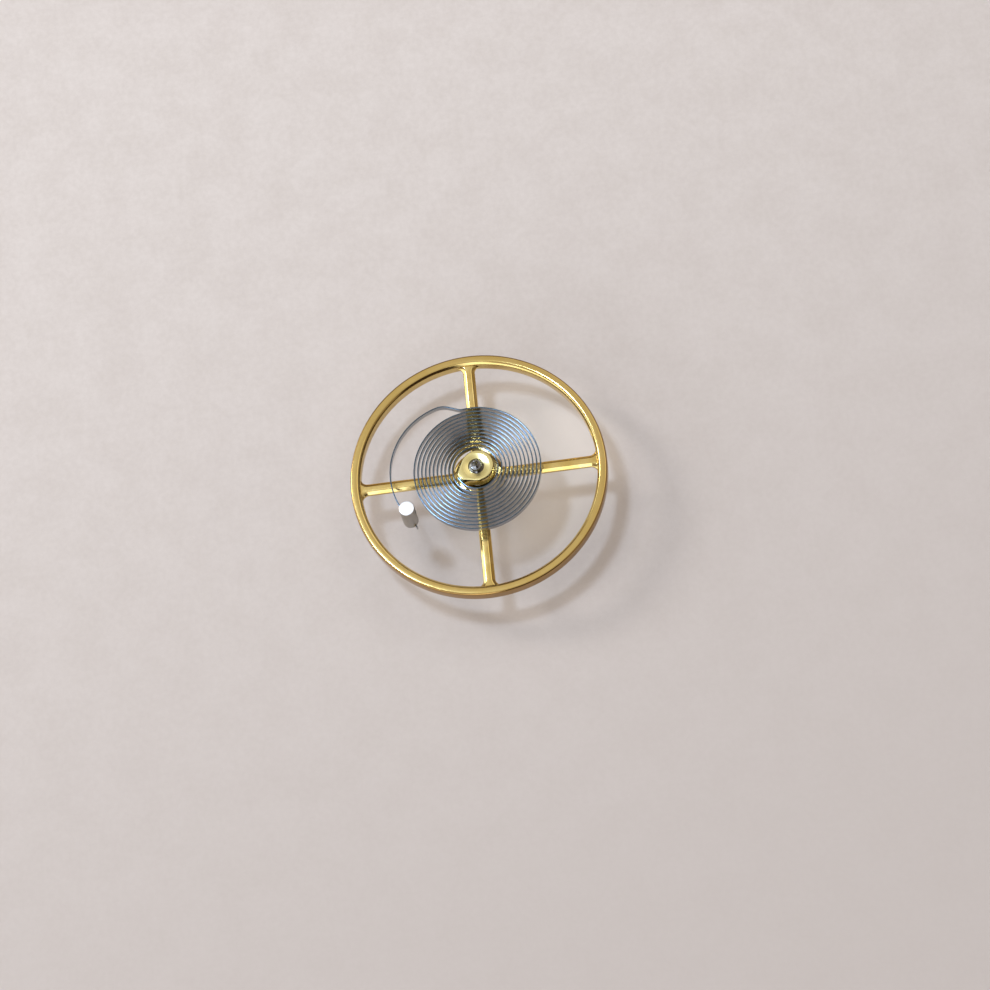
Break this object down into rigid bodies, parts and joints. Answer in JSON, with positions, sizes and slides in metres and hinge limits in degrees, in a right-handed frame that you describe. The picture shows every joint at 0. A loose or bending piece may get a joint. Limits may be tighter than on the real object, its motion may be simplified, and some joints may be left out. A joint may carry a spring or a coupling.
{
  "type": "balance wheel",
  "caption": "Watch balance with a plain rim on slim arms, pivoted staff, double roller and jewel pin, oblong collet, flat hairspring with an outer knee, and round stud.",
  "frame": {"origin": "tip of the lower pivot, on the balance's axis of rotation", "axes": "+Z along the staff towards the hairspring and the upper pivot, +X along one arm of the wheel, +Y along the next arm"},
  "size_m": [0.01, 0.01, 0.0038],
  "materials": {
    "gilt_alloy": "polished, gilt",
    "polished_steel": "polished",
    "roller_steel": "fine turned",
    "ruby": "polished",
    "shellac": "glossy",
    "collet_alloy": "fine turned",
    "spring_alloy": "polished, blue-grey",
    "stud_steel": "polished",
    "cement": "glossy"
  },
  "bodies": {
    "stud": {"hairspring_stud": "stud_steel", "stud_cement": "cement"},
    "balance": {"balance_wheel": "gilt_alloy", "balance_staff": "polished_steel", "double_roller": "roller_steel", "impulse_jewel": "ruby", "jewel_shellac": "shellac", "collet": "collet_alloy", "hairspring": "spring_alloy"}
  },
  "joints": [
    {"name": "balance_swing", "type": "hinge", "parent": "stud", "child": "balance", "pos_m": [0, 0, 0.0017], "axis": [0, 0, 1], "range_deg": [-300, 300], "stiffness_Nm_per_rad": 0.000000305, "deforming": ["hairspring"]}
  ]
}
